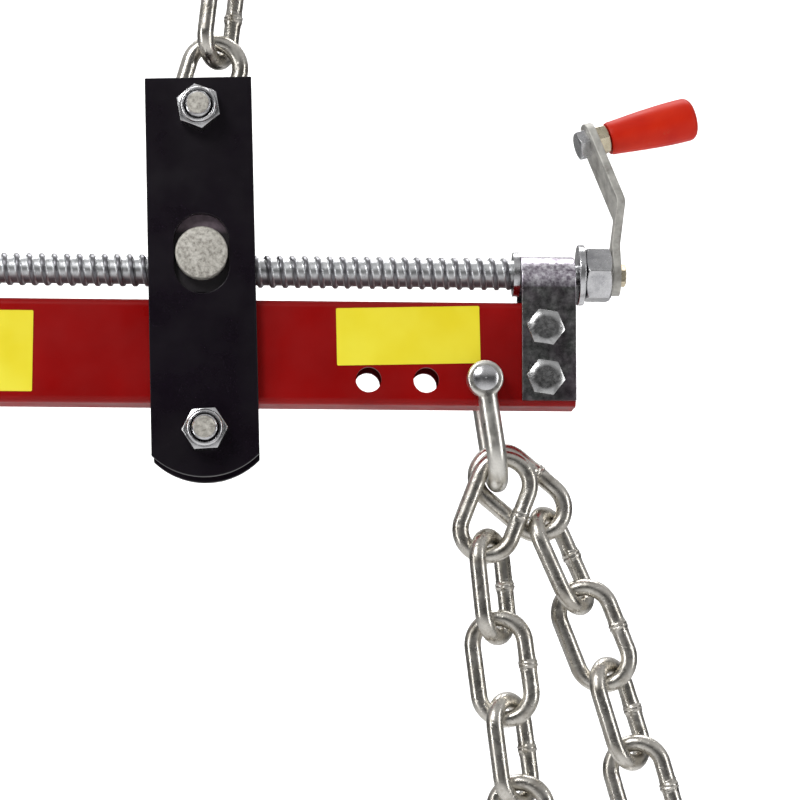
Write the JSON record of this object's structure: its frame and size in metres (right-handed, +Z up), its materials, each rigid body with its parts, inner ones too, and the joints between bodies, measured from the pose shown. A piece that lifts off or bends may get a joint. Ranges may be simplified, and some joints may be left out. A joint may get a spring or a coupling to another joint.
{
  "type": "engine load leveler",
  "caption": "Load leveler for an engine crane: a box beam slides under its hanger when the crank turns a lead screw, and chains with bolt-on tabs hang from shackles.",
  "frame": {"origin": "centre of the lift ring, where the crane's hook holds the leveler", "axes": "+Z up, +X along the beam towards the crank, -Y towards the side with the labels"},
  "size_m": [0.5213, 0.08, 0.6027],
  "materials": {
    "chain_steel": "welded, slightly dulled zinc",
    "shackle_steel": "bright zinc, satin",
    "black_paint": "gloss",
    "red_paint": "gloss powder coat",
    "bracket_steel": "zinc with a faint purple tint",
    "dark_steel": "matte",
    "trunnion_steel": "satin",
    "zinc_plate": "bright zinc",
    "yellow_zinc": "zinc with a faint yellow tint",
    "tab_steel": "rolled, zinc plated",
    "label_vinyl": "plain vinyl film",
    "grip_plastic": "moulded, satin"
  },
  "bodies": {
    "lift_ring": {"lift_ring": "chain_steel"},
    "top_link_3": {"top_link_3": "chain_steel"},
    "top_link_2": {"top_link_2": "chain_steel"},
    "top_link_1": {"top_link_1": "chain_steel"},
    "hanger": {"hanger_plate_front": "black_paint", "hanger_plate_rear": "black_paint", "hanger_bolts": "zinc_plate", "hanger_nuts": "zinc_plate", "top_spacers": "dark_steel", "roller_sleeve": "dark_steel"},
    "roller": {"roller": "dark_steel"},
    "trunnion_nut": {"trunnion_nut": "trunnion_steel"},
    "beam": {"beam": "red_paint", "bracket_left": "bracket_steel", "bracket_right": "bracket_steel", "bearing_block_left": "dark_steel", "bearing_block_right": "dark_steel", "bracket_bolts": "zinc_plate", "bracket_nuts": "zinc_plate", "labels": "label_vinyl"},
    "lead_screw": {"lead_screw": "zinc_plate", "thrust_collars": "zinc_plate", "screw_washers": "zinc_plate", "screw_end_nuts": "zinc_plate", "crank_arm": "zinc_plate", "grip_bolt": "zinc_plate", "grip_nut": "yellow_zinc"},
    "grip": {"grip": "grip_plastic"},
    "shackle_left": {"shackle_left": "shackle_steel", "shackle_pin_left": "zinc_plate"},
    "shackle_right": {"shackle_right": "shackle_steel", "shackle_pin_right": "zinc_plate"},
    "right_front_link_1": {"right_front_link_1": "chain_steel"},
    "right_front_link_2": {"right_front_link_2": "chain_steel"},
    "right_front_link_3": {"right_front_link_3": "chain_steel"},
    "right_front_link_4": {"right_front_link_4": "chain_steel"},
    "right_front_link_5": {"right_front_link_5": "chain_steel"},
    "right_front_engine_tab": {"right_front_engine_tab": "tab_steel"},
    "right_rear_link_1": {"right_rear_link_1": "chain_steel"},
    "right_rear_link_2": {"right_rear_link_2": "chain_steel"},
    "right_rear_link_3": {"right_rear_link_3": "chain_steel"},
    "right_rear_link_4": {"right_rear_link_4": "chain_steel"},
    "right_rear_link_5": {"right_rear_link_5": "chain_steel"},
    "right_rear_engine_tab": {"right_rear_engine_tab": "tab_steel"},
    "left_front_link_1": {"left_front_link_1": "chain_steel"},
    "left_front_link_2": {"left_front_link_2": "chain_steel"},
    "left_front_link_3": {"left_front_link_3": "chain_steel"},
    "left_front_link_4": {"left_front_link_4": "chain_steel"},
    "left_front_link_5": {"left_front_link_5": "chain_steel"},
    "left_front_engine_tab": {"left_front_engine_tab": "tab_steel"},
    "left_rear_link_1": {"left_rear_link_1": "chain_steel"},
    "left_rear_link_2": {"left_rear_link_2": "chain_steel"},
    "left_rear_link_3": {"left_rear_link_3": "chain_steel"},
    "left_rear_link_4": {"left_rear_link_4": "chain_steel"},
    "left_rear_link_5": {"left_rear_link_5": "chain_steel"},
    "left_rear_engine_tab": {"left_rear_engine_tab": "tab_steel"}
  },
  "joints": [
    {"name": "top_link_3_swing", "type": "hinge", "parent": "lift_ring", "child": "top_link_3", "pos_m": [0, 0, -0.03], "axis": [0, 1, 0], "range_deg": [-40, 40]},
    {"name": "top_link_2_swing", "type": "hinge", "parent": "top_link_3", "child": "top_link_2", "pos_m": [0.00985, 0, -0.06636], "axis": [0.9945, 0, -0.1045], "range_deg": [-20, 20]},
    {"name": "top_link_1_swing", "type": "hinge", "parent": "top_link_2", "child": "top_link_1", "pos_m": [0.00577, 0, -0.10514], "axis": [0.4669, 0.8829, -0.0491], "range_deg": [-20, 20]},
    {"name": "hanger_swing", "type": "hinge", "parent": "top_link_1", "child": "hanger", "pos_m": [-0.00159, 0, -0.13304], "axis": [0, 1, 0], "range_deg": [-35, 35]},
    {"name": "roller_spin", "type": "hinge", "parent": "hanger", "child": "roller", "pos_m": [0.00325, 0, -0.28726], "axis": [0, 1, 0], "continuous": true},
    {"name": "beam_tilt", "type": "hinge", "parent": "hanger", "child": "trunnion_nut", "pos_m": [0.00059, 0, -0.20241], "axis": [0, 1, 0], "range_deg": [-13.5, 10]},
    {"name": "beam_travel", "type": "slide", "parent": "trunnion_nut", "child": "beam", "axis": [1, 0, 0], "range_m": [-0.094, 0.17]},
    {"name": "screw_turn", "type": "hinge", "parent": "beam", "child": "lead_screw", "pos_m": [-0.03741, 0, -0.20841], "axis": [1, 0, 0], "range_deg": [-5640, 10200]},
    {"name": "grip_spin", "type": "hinge", "parent": "lead_screw", "child": "grip", "pos_m": [0.19204, 0.02884, -0.13701], "axis": [0.9563, 0.1095, 0.2711], "continuous": true},
    {"name": "shackle_left_swing", "type": "hinge", "parent": "beam", "child": "shackle_left", "pos_m": [-0.21041, 0, -0.26181], "axis": [0, 1, 0], "range_deg": [-30, 30]},
    {"name": "shackle_right_swing", "type": "hinge", "parent": "beam", "child": "shackle_right", "pos_m": [0.13559, 0, -0.26181], "axis": [0, 1, 0], "range_deg": [-30, 30]},
    {"name": "right_front_link_1_swing", "type": "hinge", "parent": "shackle_right", "child": "right_front_link_1", "pos_m": [0.14345, -0.00475, -0.30879], "axis": [0, 1, 0], "range_deg": [-1, 35]},
    {"name": "right_front_link_2_swing", "type": "hinge", "parent": "right_front_link_1", "child": "right_front_link_2", "pos_m": [0.13741, -0.00475, -0.33226], "axis": [0, -1, 0], "range_deg": [-35, 4]},
    {"name": "right_front_link_3_swing", "type": "hinge", "parent": "right_front_link_2", "child": "right_front_link_3", "pos_m": [0.14279, -0.00475, -0.38348], "axis": [0.527, 0.848, 0.0554], "range_deg": [-12, 30]},
    {"name": "right_front_link_4_swing", "type": "hinge", "parent": "right_front_link_3", "child": "right_front_link_4", "pos_m": [0.14779, -0.00475, -0.42216], "axis": [0.9764, -0.1736, 0.1285], "range_deg": [-20, 20]},
    {"name": "right_front_link_5_swing", "type": "hinge", "parent": "right_front_link_4", "child": "right_front_link_5", "pos_m": [0.15288, -0.00475, -0.46083], "axis": [-0.6104, -0.788, -0.0804], "range_deg": [-28, 20]},
    {"name": "right_front_tab_swing", "type": "hinge", "parent": "right_front_link_5", "child": "right_front_engine_tab", "pos_m": [0.15705, -0.00475, -0.4996], "axis": [0.9728, -0.2079, 0.1022], "range_deg": [-50, 50]},
    {"name": "right_rear_link_1_swing", "type": "hinge", "parent": "shackle_right", "child": "right_rear_link_1", "pos_m": [0.14345, 0.00475, -0.30879], "axis": [0, -1, 0], "range_deg": [-1, 35]},
    {"name": "right_rear_link_2_swing", "type": "hinge", "parent": "right_rear_link_1", "child": "right_rear_link_2", "pos_m": [0.16297, 0.00475, -0.32128], "axis": [0, 1, 0], "range_deg": [-35, 4]},
    {"name": "right_rear_link_3_swing", "type": "hinge", "parent": "right_rear_link_2", "child": "right_rear_link_3", "pos_m": [0.18391, 0.00475, -0.36832], "axis": [-0.4841, -0.848, -0.2155], "range_deg": [-12, 30]},
    {"name": "right_rear_link_4_swing", "type": "hinge", "parent": "right_rear_link_3", "child": "right_rear_link_4", "pos_m": [0.19745, 0.00492, -0.40486], "axis": [0.9419, -0.1731, 0.288], "range_deg": [-20, 20]},
    {"name": "right_rear_link_5_swing", "type": "hinge", "parent": "right_rear_link_4", "child": "right_rear_link_5", "pos_m": [0.20883, 0.00475, -0.44217], "axis": [0.5888, 0.788, 0.18], "range_deg": [-28, 20]},
    {"name": "right_rear_tab_swing", "type": "hinge", "parent": "right_rear_link_5", "child": "right_rear_engine_tab", "pos_m": [0.21963, 0.00475, -0.47964], "axis": [0.9403, -0.2079, 0.2696], "range_deg": [-50, 50]},
    {"name": "left_front_link_1_swing", "type": "hinge", "parent": "shackle_left", "child": "left_front_link_1", "pos_m": [-0.20255, -0.00475, -0.30879], "axis": [0, 1, 0], "range_deg": [-1, 35]},
    {"name": "left_front_link_2_swing", "type": "hinge", "parent": "left_front_link_1", "child": "left_front_link_2", "pos_m": [-0.21485, -0.00475, -0.3317], "axis": [0, -1, 0], "range_deg": [-35, 4]},
    {"name": "left_front_link_3_swing", "type": "hinge", "parent": "left_front_link_2", "child": "left_front_link_3", "pos_m": [-0.22818, -0.00475, -0.38144], "axis": [0.5119, 0.848, -0.1372], "range_deg": [-12, 30]},
    {"name": "left_front_link_4_swing", "type": "hinge", "parent": "left_front_link_3", "child": "left_front_link_4", "pos_m": [-0.23666, -0.00483, -0.4195], "axis": [0.9667, -0.1735, -0.1879], "range_deg": [-20, 20]},
    {"name": "left_front_link_5_swing", "type": "hinge", "parent": "left_front_link_4", "child": "left_front_link_5", "pos_m": [-0.24408, -0.00475, -0.45779], "axis": [-0.6043, -0.788, 0.1175], "range_deg": [-28, 20]},
    {"name": "left_front_tab_swing", "type": "hinge", "parent": "left_front_link_5", "child": "left_front_engine_tab", "pos_m": [-0.2503, -0.00475, -0.49629], "axis": [0.9661, -0.2079, -0.153], "range_deg": [-50, 50]},
    {"name": "left_rear_link_1_swing", "type": "hinge", "parent": "shackle_left", "child": "left_rear_link_1", "pos_m": [-0.20255, 0.00475, -0.30879], "axis": [0, -1, 0], "range_deg": [-1, 35]},
    {"name": "left_rear_link_2_swing", "type": "hinge", "parent": "left_rear_link_1", "child": "left_rear_link_2", "pos_m": [-0.18885, 0.00475, -0.33081], "axis": [0, 1, 0], "range_deg": [-35, 4]},
    {"name": "left_rear_link_3_swing", "type": "hinge", "parent": "left_rear_link_2", "child": "left_rear_link_3", "pos_m": [-0.17466, 0.00475, -0.38032], "axis": [-0.5094, -0.848, -0.1461], "range_deg": [-12, 30]},
    {"name": "left_rear_link_4_swing", "type": "hinge", "parent": "left_rear_link_3", "child": "left_rear_link_4", "pos_m": [-0.16794, 0.00483, -0.41871], "axis": [0.9752, -0.1735, 0.1371], "range_deg": [-20, 20]},
    {"name": "left_rear_link_5_swing", "type": "hinge", "parent": "left_rear_link_4", "child": "left_rear_link_5", "pos_m": [-0.16253, 0.00475, -0.45733], "axis": [0.6097, 0.788, 0.0857], "range_deg": [-28, 20]},
    {"name": "left_rear_tab_swing", "type": "hinge", "parent": "left_rear_link_5", "child": "left_rear_engine_tab", "pos_m": [-0.15833, 0.00475, -0.4961], "axis": [0.9728, -0.2079, 0.1022], "range_deg": [-50, 50]}
  ],
  "couplings": [
    {"joint": "beam_travel", "follows": "screw_turn", "m_per_rad": 0.00095493}
  ]
}
